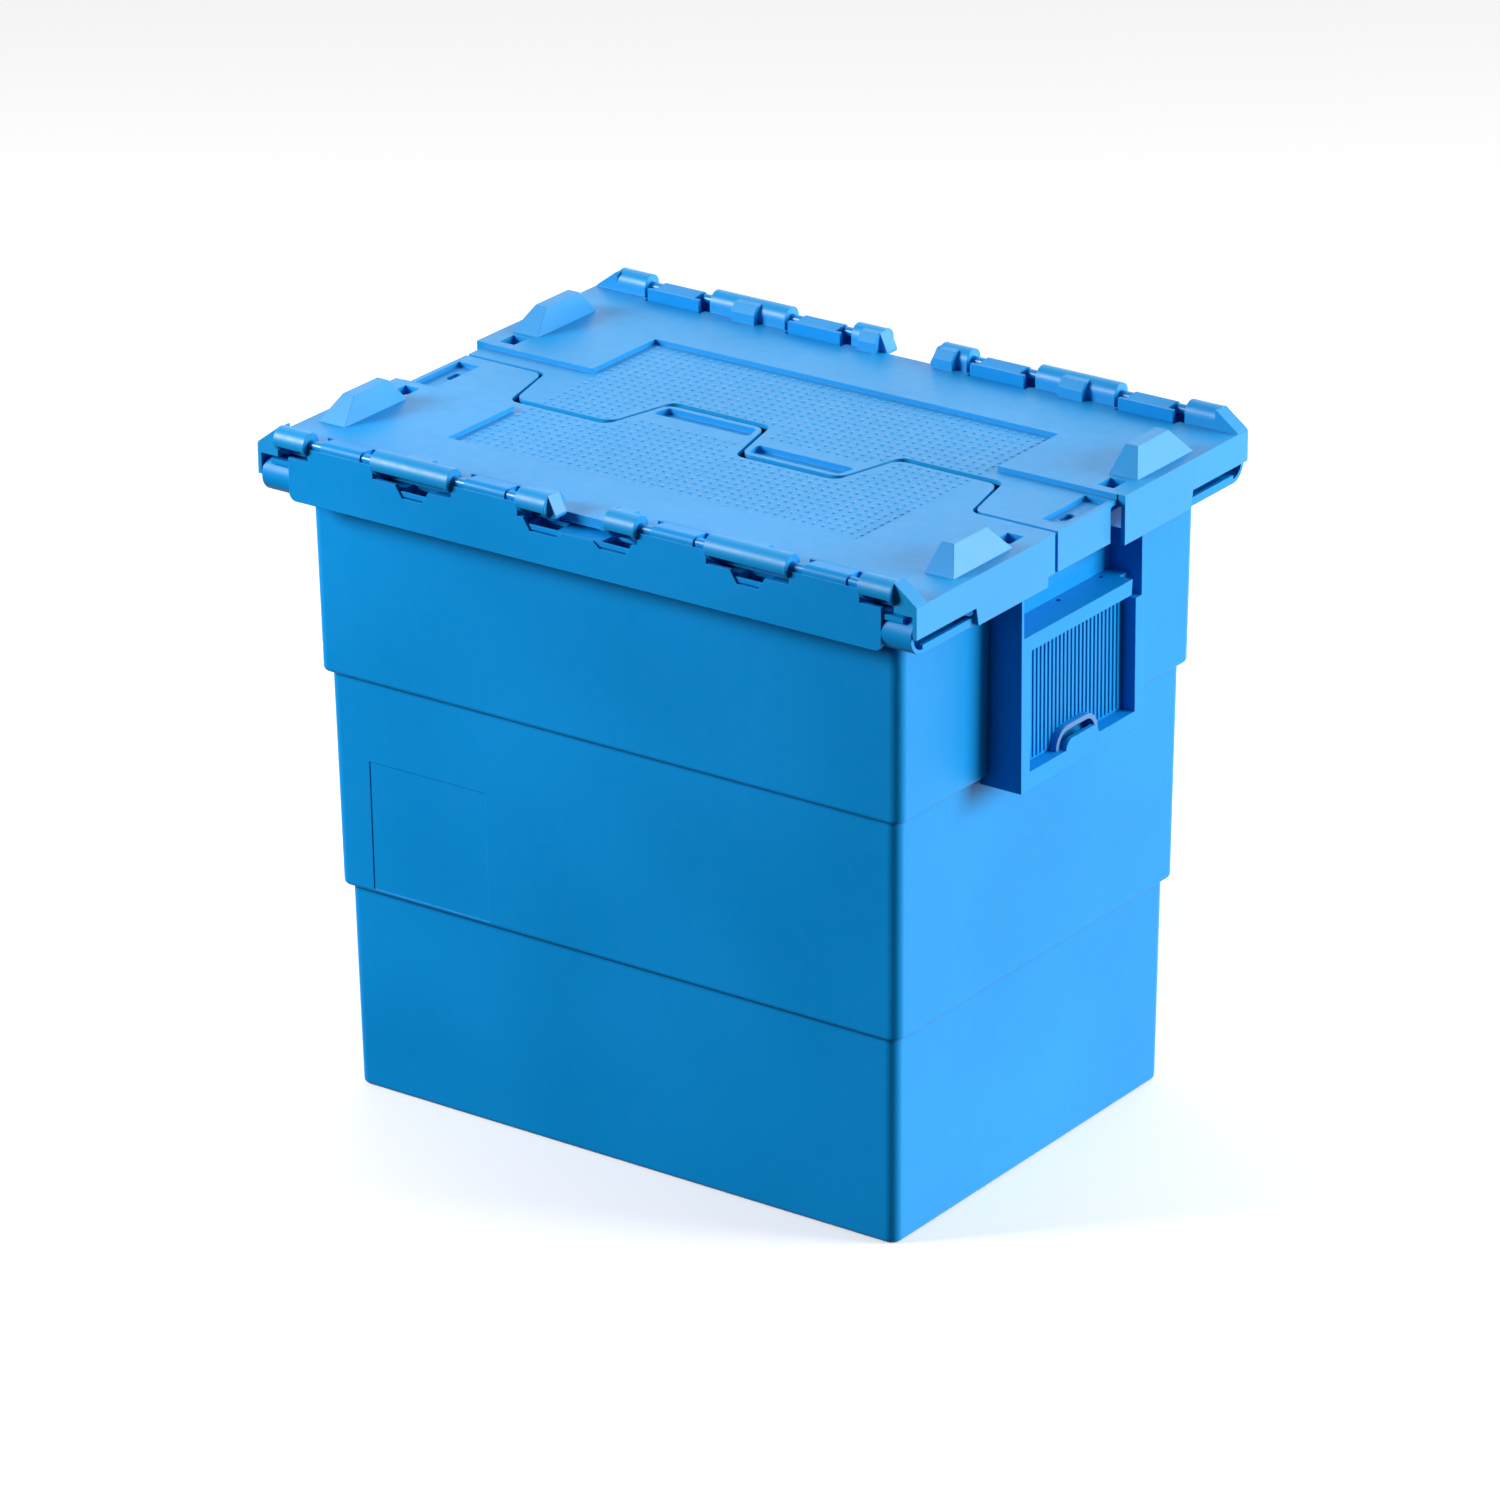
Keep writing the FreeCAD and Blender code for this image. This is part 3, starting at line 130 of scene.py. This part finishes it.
class CrateFinish(PropertyGroup):
    tub_colour: colour("Tub", "Pigment of the tub", (0.0, 0.28, 0.72))
    lid_colour: colour("Lids", "Pigment of both lids", (0.0, 0.30, 0.72))
    # The dots' pigment is set paler than the lids' as a painted highlight on the dots.
    highlit_dot_colour: colour("Dots", "Pigment of the lids' grip dots, rubbed a little paler",
                       (0.04, 0.36, 0.80))
    rod_colour: colour("Rods", "Pigment of the hinge rods", (0.0, 0.26, 0.66))
    plate_colour: colour("Label plates", "Pigment of the ribbed label plates", (0.0, 0.26, 0.66))
    # The finger lip's grey colour is a painted highlight on the lip over the plates' finger notch.
    lip_highlight_colour: colour("Finger lip", "Highlit lip over the plates' finger notch",
                       (0.10, 0.25, 0.52))
    lip_start: millimetres("Lip start", "Depth under the lip's face at which the highlight starts",
                           1.6)
    lip_full: millimetres("Lip full", "Depth under the lip's face at which the highlight is full",
                          0.9)
    tub_shine: fraction("Tub shine", "Specular level of the tub's walls", 0.22)
    lid_shine: fraction("Lid shine", "Specular level of the lids, dots and rods", 0.5)
    plate_shine: fraction("Plate shine", "Specular level of the label plates", 0.15)
    roughness: fraction("Roughness", "Middle roughness of the plastic", 0.42)
    grain: millimetres("Grain", "Width of one grain of the moulded texture", 0.7)
    grain_depth: millimetres("Grain depth", "Height of the moulded texture", 0.012)
    edge_round: millimetres("Edge round", "Radius that softens the moulded edges", 0.45)


class CrateDots(PropertyGroup):
    pitch: millimetres("Pitch", "Distance from dot to dot, both ways", 5.7)
    radius: millimetres("Radius", "Radius of one dot at its foot", 1.35)
    height: millimetres("Height", "Rise of a dot over the panel", 0.6)
    sides: IntProperty(name="Sides", description="Corners round one dot", default=10, min=6, max=24)
    panel_below_boss: millimetres("Panel depth", "Panel's depth below the stacking bosses", 15.6)
    half_length: millimetres("Half length", "Dots reach this far along the hinge from the middle",
                             121.5)
    half_width: millimetres("Half width", "Dots reach this far from the seam's middle line", 84.0)
    seam_pitch: millimetres("Seam pitch", "Width of one finger of the seam", 70.5)
    seam_reach: millimetres("Seam reach", "Fingers reach this far past the middle line", 20.0)
    seam_slant: millimetres("Seam slant", "Sideways lean of a finger's flank over its reach", 5.0)
    seam_margin: millimetres("Seam margin", "Plain margin between the dots and the seam", 4.2)
    pull_length: millimetres("Pull length", "Plain length of the finger pull, from the middle",
                             70.0)
    pull_foot: millimetres("Pull foot", "Dots stop this far past the middle line at the pull", -3.0)


class CrateStudio(PropertyGroup):
    azimuth: degrees("Azimuth", "Camera's turn round the crate", 35.837)
    elevation: degrees("Elevation", "Camera's height angle", 22.765)
    roll: degrees("Roll", "Camera's tilt about its own axis", -0.57)
    distance: metres("Distance", "Camera's distance from its aim", 4.0054)
    lens: FloatProperty(name="Lens", description="Focal length in millimetres", default=188.9,
                        unit="CAMERA")
    aim: position("Aim", "Aim point, from the middle of the crate", (-0.0026, -0.0016, 0.0006))
    floor_size: metres("Floor", "Side of the square floor", 16.0)
    floor_colour: colour("Floor colour", "Pale floor", (0.8, 0.8, 0.8))
    floor_glow: FloatProperty(name="Floor glow", default=0.27,
                              description="Light that the white floor gives off itself")
    front_sky: FloatProperty(name="Front sky", description="Studio brightness before the crate",
                             default=0.04)
    back_sky: FloatProperty(name="Back sky", description="Studio brightness behind the crate",
                            default=1.85)
    sky_start: FloatProperty(name="Sky start", default=-0.2,
                             description="How far back the studio starts to brighten")
    sky_end: FloatProperty(name="Sky end", default=0.8,
                           description="How far back the studio is at its brightest")
    left_power: watts("Left power", "Power of the softbox at the front left", 50.0)
    left_place: position("Left place", "Place of the softbox at the front left", (-1.3, -1.3, 1.1))
    left_size: metres("Left size", "Side of the softbox at the front left", 0.7)
    right_power: watts("Right power", "Power of the softbox at the back right", 76.0)
    right_place: position("Right place", "Place of the softbox at the back right", (2.2, 1.2, 0.9))
    right_size: metres("Right size", "Side of the softbox at the back right", 1.2)


def settings():
    return bpy.context.scene.crate


# ------------------------------------------------------------------ small helpers

def deselect():
    if bpy.context.object and bpy.context.object.mode != "OBJECT":
        bpy.ops.object.mode_set(mode="OBJECT")
    bpy.ops.object.select_all(action="DESELECT")


def choose(piece):
    deselect()
    piece.select_set(True)
    bpy.context.view_layer.objects.active = piece


def settle(piece, name):
    """Puts a finished piece's place into its mesh and gives both a plain name."""
    choose(piece)
    bpy.ops.object.transform_apply(location=True, rotation=True, scale=True)
    piece.name = name
    piece.data.name = name
    return piece


def twin(piece, name):
    """The same piece turned half round about the crate's upright axis, with its own mesh."""
    choose(piece)
    bpy.ops.object.duplicate(linked=False)
    copy = bpy.context.object
    copy.rotation_euler = (0.0, 0.0, math.pi)
    return settle(copy, name)


def select_vertices(piece, wanted):
    """In edit mode, selects just the vertices for which wanted(place) holds."""
    mesh = bmesh.from_edit_mesh(piece.data)
    for vertex in mesh.verts:
        vertex.select = wanted(vertex.co)
    mesh.select_flush_mode()
    bmesh.update_edit_mesh(piece.data)


def array(piece, offset, count):
    choose(piece)
    modifier = piece.modifiers.new("row", "ARRAY")
    modifier.use_relative_offset = False
    modifier.use_constant_offset = True
    modifier.constant_offset_displace = offset
    modifier.count = count
    bpy.ops.object.modifier_apply(modifier=modifier.name)


# ------------------------------------------------------------------ materials

class Sheet:
    """The node tree of a material or a world, with short calls to add and join nodes."""

    def __init__(self, owner):
        owner.use_nodes = True
        self.owner = owner
        self.tree = owner.node_tree
        self.tree.nodes.clear()

    def add(self, kind, **values):
        node = self.tree.nodes.new("ShaderNode" + kind)
        for key, value in values.items():
            setattr(node, key, value)
        return node

    def join(self, source, target):
        self.tree.links.new(source, target)

    def noise(self, place, scale, detail):
        node = self.add("TexNoise")
        node.inputs["Scale"].default_value = scale
        node.inputs["Detail"].default_value = detail
        self.join(place, node.inputs["Vector"])
        return node.outputs["Fac"]

    def spread(self, value, low, high, start=0.3, end=0.7):
        """Stretches a value between start and end to run from low to high."""
        node = self.add("MapRange")
        self.join(value, node.inputs["Value"])
        for key, number in (("From Min", start), ("From Max", end),
                            ("To Min", low), ("To Max", high)):
            node.inputs[key].default_value = number
        return node.outputs["Result"]

    def blend(self, share, first, second):
        node = self.add("Mix", data_type="RGBA")
        self.join(share, node.inputs["Factor"])
        for socket, tint in ((node.inputs["A"], first), (node.inputs["B"], second)):
            if isinstance(tint, bpy.types.NodeSocket):
                self.join(tint, socket)
            else:
                socket.default_value = (*tint, 1.0)
        return node.outputs["Result"]

    def bump(self, height, strength, distance, normal):
        node = self.add("Bump")
        node.inputs["Strength"].default_value = strength
        node.inputs["Distance"].default_value = distance
        self.join(height, node.inputs["Height"])
        self.join(normal, node.inputs["Normal"])
        return node.outputs["Normal"]


def flowed_pigment(sheet, flow, tint):
    """The plastic's colour, a little deeper and paler along its slow flow marks."""
    deeper = tuple(channel * DEEPER_TINT for channel in tint)
    paler = tuple(min(1.0, channel * PALER_TINT + PALER_LIFT) for channel in tint)
    return sheet.blend(sheet.spread(flow, 0.0, 1.0), deeper, paler)


def painted_lip_highlight(sheet, place, pigment, lip):
    """Paints a highlight on the lip: turns the pigment to the highlight colour from start to end,
    out along the crate's length.
    """
    start, end, highlit = lip
    axes = sheet.add("SeparateXYZ")
    sheet.join(place, axes.inputs["Vector"])
    outward = sheet.add("Math", operation="ABSOLUTE")
    sheet.join(axes.outputs["X"], outward.inputs[0])
    share = sheet.spread(outward.outputs["Value"], 0.0, 1.0, start, end)
    return sheet.blend(share, pigment, highlit)


def moulded_relief(sheet, place, flow):
    """Softened edges with slow waves over them, and fine grain over those."""
    finish = settings().finish
    soft = sheet.add("Bevel", samples=EDGE_SAMPLES)
    soft.inputs["Radius"].default_value = finish.edge_round
    waves = sheet.bump(flow, FLOW_STRENGTH, FLOW_HEIGHT, soft.outputs["Normal"])
    grain = sheet.noise(place, 1.0 / finish.grain, detail=2.0)
    return sheet.bump(grain, GRAIN_STRENGTH, finish.grain_depth, waves)


def moulded_plastic(name, tint, shine, gloss=0.0, lip=None):
    """Pigmented moulded plastic: fine grain, slow flow waves and softened edges."""
    sheet = Sheet(bpy.data.materials.new(name))
    place = sheet.add("TexCoord").outputs["Object"]
    shader = sheet.add("BsdfPrincipled")
    output = sheet.add("OutputMaterial")
    sheet.join(shader.outputs["BSDF"], output.inputs["Surface"])

    flow = sheet.noise(place, FLOW_SCALE, detail=1.0)
    pigment = flowed_pigment(sheet, flow, tint)
    # The lip colour blended in here is a painted highlight.
    if lip is not None:
        pigment = painted_lip_highlight(sheet, place, pigment, lip)
    sheet.join(pigment, shader.inputs["Base Color"])

    mottle = sheet.noise(place, MOTTLE_SCALE, detail=3.0)
    middle = settings().finish.roughness - gloss
    roughness = sheet.spread(mottle, middle - SMOOTHER, middle + ROUGHER)
    sheet.join(roughness, shader.inputs["Roughness"])
    shader.inputs["IOR"].default_value = PLASTIC_IOR
    shader.inputs["Specular IOR Level"].default_value = shine
    sheet.join(moulded_relief(sheet, place, flow), shader.inputs["Normal"])
    return sheet.owner


def dress(piece, material):
    piece.data.materials.clear()
    piece.data.materials.append(material)


# ------------------------------------------------------------------ pieces

class CRATE_OT_tub(Operator):
    """Gives the tub its moulded plastic"""

    bl_idname = "crate.tub"
    bl_label = "Finish tub"

    def execute(self, context):
        finish = settings().finish
        plastic = moulded_plastic("tub_plastic", finish.tub_colour, finish.tub_shine)
        dress(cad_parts["tub"], plastic)
        return {"FINISHED"}


class CRATE_OT_lids(Operator):
    """Gives both half lids their moulded plastic"""

    bl_idname = "crate.lids"
    bl_label = "Finish lids"

    def execute(self, context):
        finish = settings().finish
        plastic = moulded_plastic("lid_plastic", finish.lid_colour, finish.lid_shine)
        for node in ("front_lid", "rear_lid"):
            dress(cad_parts[node], plastic)
        return {"FINISHED"}


class CRATE_OT_rods(Operator):
    """Gives the hinge rods their smooth extruded plastic"""

    bl_idname = "crate.rods"
    bl_label = "Finish rods"

    def execute(self, context):
        finish = settings().finish
        plastic = moulded_plastic("rod_plastic", finish.rod_colour, finish.lid_shine, ROD_GLOSS)
        for name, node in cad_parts.items():
            if name.endswith("_rod"):
                dress(node, plastic)
        return {"FINISHED"}


class CRATE_OT_plates(Operator):
    """Gives the ribbed label plates their plastic and a painted highlight on the lip over the
    finger notch
    """

    bl_idname = "crate.plates"
    bl_label = "Finish label plates"

    def execute(self, context):
        finish = settings().finish
        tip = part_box("right_label_plate")[1].x
        # The lip's grey colour is a painted highlight, blended in near the plate's outer tip.
        lip = (tip - finish.lip_start, tip - finish.lip_full, finish.lip_highlight_colour)
        plastic = moulded_plastic("plate_plastic", finish.plate_colour, finish.plate_shine, lip=lip)
        for node in ("right_label_plate", "left_label_plate"):
            dress(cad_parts[node], plastic)
        return {"FINISHED"}


def seam_side(across, dots):
    """How far the front lid reaches over the middle line at this place along the seam."""
    nearest = round(across / dots.seam_pitch)
    from_crossing = across - nearest * dots.seam_pitch
    lean = max(-1.0, min(1.0, from_crossing / dots.seam_slant))
    falling = 1.0 if nearest % 2 == 0 else -1.0
    return -falling * lean * dots.seam_reach


def has_dot(across, along, dots):
    """Whether the front lid carries a dot at this place."""
    if abs(across) > dots.half_length or along < -dots.half_width:
        return False
    clear = min(seam_side(across + step * dots.seam_margin, dots) for step in (-1.0, 0.0, 1.0))
    if along > clear - dots.seam_margin:
        return False
    pull_end = 2 * dots.radius
    on_pull = -dots.pull_length < across < pull_end
    return not (on_pull and along > dots.pull_foot)


def one_dot(dots, left, foot, level):
    """A low round dot that rises in narrowing steps from just inside the lid's panel."""
    deselect()
    bpy.ops.mesh.primitive_circle_add(vertices=dots.sides, radius=dots.radius, fill_type="NGON",
                                      location=(left, foot, level - DOT_SUNK))
    piece = bpy.context.object
    bpy.ops.object.mode_set(mode="EDIT")
    bpy.ops.mesh.select_all(action="SELECT")
    for rise, narrow in DOT_STEPS:
        bpy.ops.mesh.extrude_region_move(
            TRANSFORM_OT_translate={"value": (0.0, 0.0, rise * (dots.height + DOT_SUNK))})
        bpy.ops.transform.resize(value=(narrow, narrow, 1.0), center_override=(left, foot, level))
    bpy.ops.object.mode_set(mode="OBJECT")
    return piece


class CRATE_OT_dots(Operator):
    """Adds the grip dots that cover the sunken panel of both lids"""

    bl_idname = "crate.dots"
    bl_label = "Add lid dots"

    def execute(self, context):
        dots = settings().dots
        columns = 2 * int(dots.half_length / dots.pitch) + 1
        rows = int((dots.half_width + dots.seam_reach) / dots.pitch)
        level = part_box("front_lid")[1].z - dots.panel_below_boss
        left = -(columns - 1) / 2 * dots.pitch
        foot = -dots.half_width + dots.radius
        piece = settle(one_dot(dots, left, foot, level), "front_lid_dots")
        array(piece, (dots.pitch, 0.0, 0.0), columns)
        array(piece, (0.0, dots.pitch, 0.0), rows)

        def unwanted(corner):
            column = round((corner.x - left) / dots.pitch)
            row = round((corner.y - foot) / dots.pitch)
            return not has_dot(left + column * dots.pitch, foot + row * dots.pitch, dots)

        choose(piece)
        bpy.ops.object.mode_set(mode="EDIT")
        bpy.ops.mesh.select_mode(type="VERT")
        select_vertices(piece, unwanted)
        bpy.ops.mesh.delete(type="VERT")
        bpy.ops.mesh.select_all(action="SELECT")
        bpy.ops.mesh.normals_make_consistent(inside=False)
        bpy.ops.object.mode_set(mode="OBJECT")
        bpy.ops.object.shade_smooth_by_angle(angle=DOT_SMOOTH_ANGLE)
        rear = twin(piece, "rear_lid_dots")
        finish = settings().finish
        # The dots' paler pigment is a painted highlight.
        plastic = moulded_plastic("highlit_dot_plastic", finish.highlit_dot_colour, finish.lid_shine, DOT_GLOSS)
        for made, body in ((piece, "front_flap"), (rear, "rear_flap")):
            dress(made, plastic)
            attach(made, body)
        return {"FINISHED"}


# ------------------------------------------------------------------ studio

def studio_floor(studio):
    """A wide pale floor that gives off a little light and doesn't tint the crate."""
    bpy.ops.mesh.primitive_plane_add(size=studio.floor_size, location=(0.0, 0.0, CAD_LOW.z))
    floor = bpy.context.object
    floor.name = "studio_floor"
    sheet = Sheet(bpy.data.materials.new("floor_paint"))
    shader = sheet.add("BsdfPrincipled")
    shader.inputs["Base Color"].default_value = (*studio.floor_colour, 1.0)
    shader.inputs["Roughness"].default_value = FLOOR_ROUGHNESS
    shader.inputs["Specular IOR Level"].default_value = 0.0
    shader.inputs["Emission Color"].default_value = WHITE
    shader.inputs["Emission Strength"].default_value = studio.floor_glow
    output = sheet.add("OutputMaterial")
    sheet.join(shader.outputs["BSDF"], output.inputs["Surface"])
    dress(floor, sheet.owner)
    floor.visible_diffuse = False
    floor.visible_glossy = False


def studio_air(studio):
    """White studio air that is darker before the crate than behind it."""
    world = bpy.data.worlds.new("studio_air")
    bpy.context.scene.world = world
    sheet = Sheet(world)
    axes = sheet.add("SeparateXYZ")
    sheet.join(sheet.add("TexCoord").outputs["Generated"], axes.inputs["Vector"])
    strength = sheet.spread(axes.outputs["Y"], studio.front_sky, studio.back_sky,
                            studio.sky_start, studio.sky_end)
    background = sheet.add("Background")
    sheet.join(strength, background.inputs["Strength"])
    output = sheet.add("OutputWorld")
    sheet.join(background.outputs["Background"], output.inputs["Surface"])


def softbox(name, spot, aim, side, power):
    """A square lamp at this spot that faces its aim."""
    bpy.ops.object.light_add(type="AREA", location=spot)
    lamp = bpy.context.object
    lamp.name = name
    lamp.data.shape = "SQUARE"
    lamp.data.size = side
    lamp.data.energy = power
    toward = aim - Vector(spot)
    lamp.rotation_euler = toward.to_track_quat("-Z", "Y").to_euler()


def studio_camera(studio, middle):
    turn, lift = studio.azimuth, studio.elevation
    back = Vector((math.sin(turn) * math.cos(lift), -math.cos(turn) * math.cos(lift),
                   math.sin(lift)))
    aim = middle + Vector(studio.aim)
    bpy.ops.object.camera_add(location=aim + back * studio.distance)
    camera = bpy.context.object
    camera.name = "studio_camera"
    upright = (-back).to_track_quat("-Z", "Y").to_matrix()
    camera.rotation_euler = (upright @ Matrix.Rotation(studio.roll, 3, "Z")).to_euler()
    camera.data.lens = studio.lens
    camera.data.sensor_width = SENSOR_WIDTH
    camera.data.clip_end = CLIP_END
    bpy.context.scene.camera = camera


class CRATE_OT_stage(Operator):
    """Sets up the pale floor, the soft lights and the camera"""

    bl_idname = "crate.stage"
    bl_label = "Set up studio"

    def execute(self, context):
        studio = settings().studio
        middle = (CAD_LOW + CAD_HIGH) / 2
        deselect()
        studio_floor(studio)
        studio_air(studio)
        softbox("left_softbox", studio.left_place, middle, studio.left_size, studio.left_power)
        softbox("right_softbox", studio.right_place, middle, studio.right_size,
                studio.right_power)
        context.scene.view_settings.view_transform = "Standard"
        studio_camera(studio, middle)
        return {"FINISHED"}


# ------------------------------------------------------------------ add-on layout

class CrateSettings(PropertyGroup):
    finish: PointerProperty(type=CrateFinish)
    dots: PointerProperty(type=CrateDots)
    studio: PointerProperty(type=CrateStudio)


class CRATE_PT_panel(Panel):
    bl_label = "Crate"
    bl_idname = "CRATE_PT_panel"
    bl_space_type = "VIEW_3D"
    bl_region_type = "UI"
    bl_category = "Crate"

    def draw(self, context):
        for operator in STEPS:
            self.layout.operator(operator.bl_idname)


STEPS = (CRATE_OT_stage, CRATE_OT_tub, CRATE_OT_lids, CRATE_OT_rods, CRATE_OT_plates,
         CRATE_OT_dots)
CLASSES = (CrateFinish, CrateDots, CrateStudio, CrateSettings, *STEPS, CRATE_PT_panel)


def register():
    for kind in CLASSES:
        bpy.utils.register_class(kind)
    bpy.types.Scene.crate = PointerProperty(type=CrateSettings)


def unregister():
    del bpy.types.Scene.crate
    for kind in reversed(CLASSES):
        bpy.utils.unregister_class(kind)


def main():
    register()
    bpy.ops.crate.stage()
    bpy.ops.crate.tub()
    bpy.ops.crate.lids()
    bpy.ops.crate.rods()
    bpy.ops.crate.plates()
    bpy.ops.crate.dots()


if __name__ == "__main__":
    main()
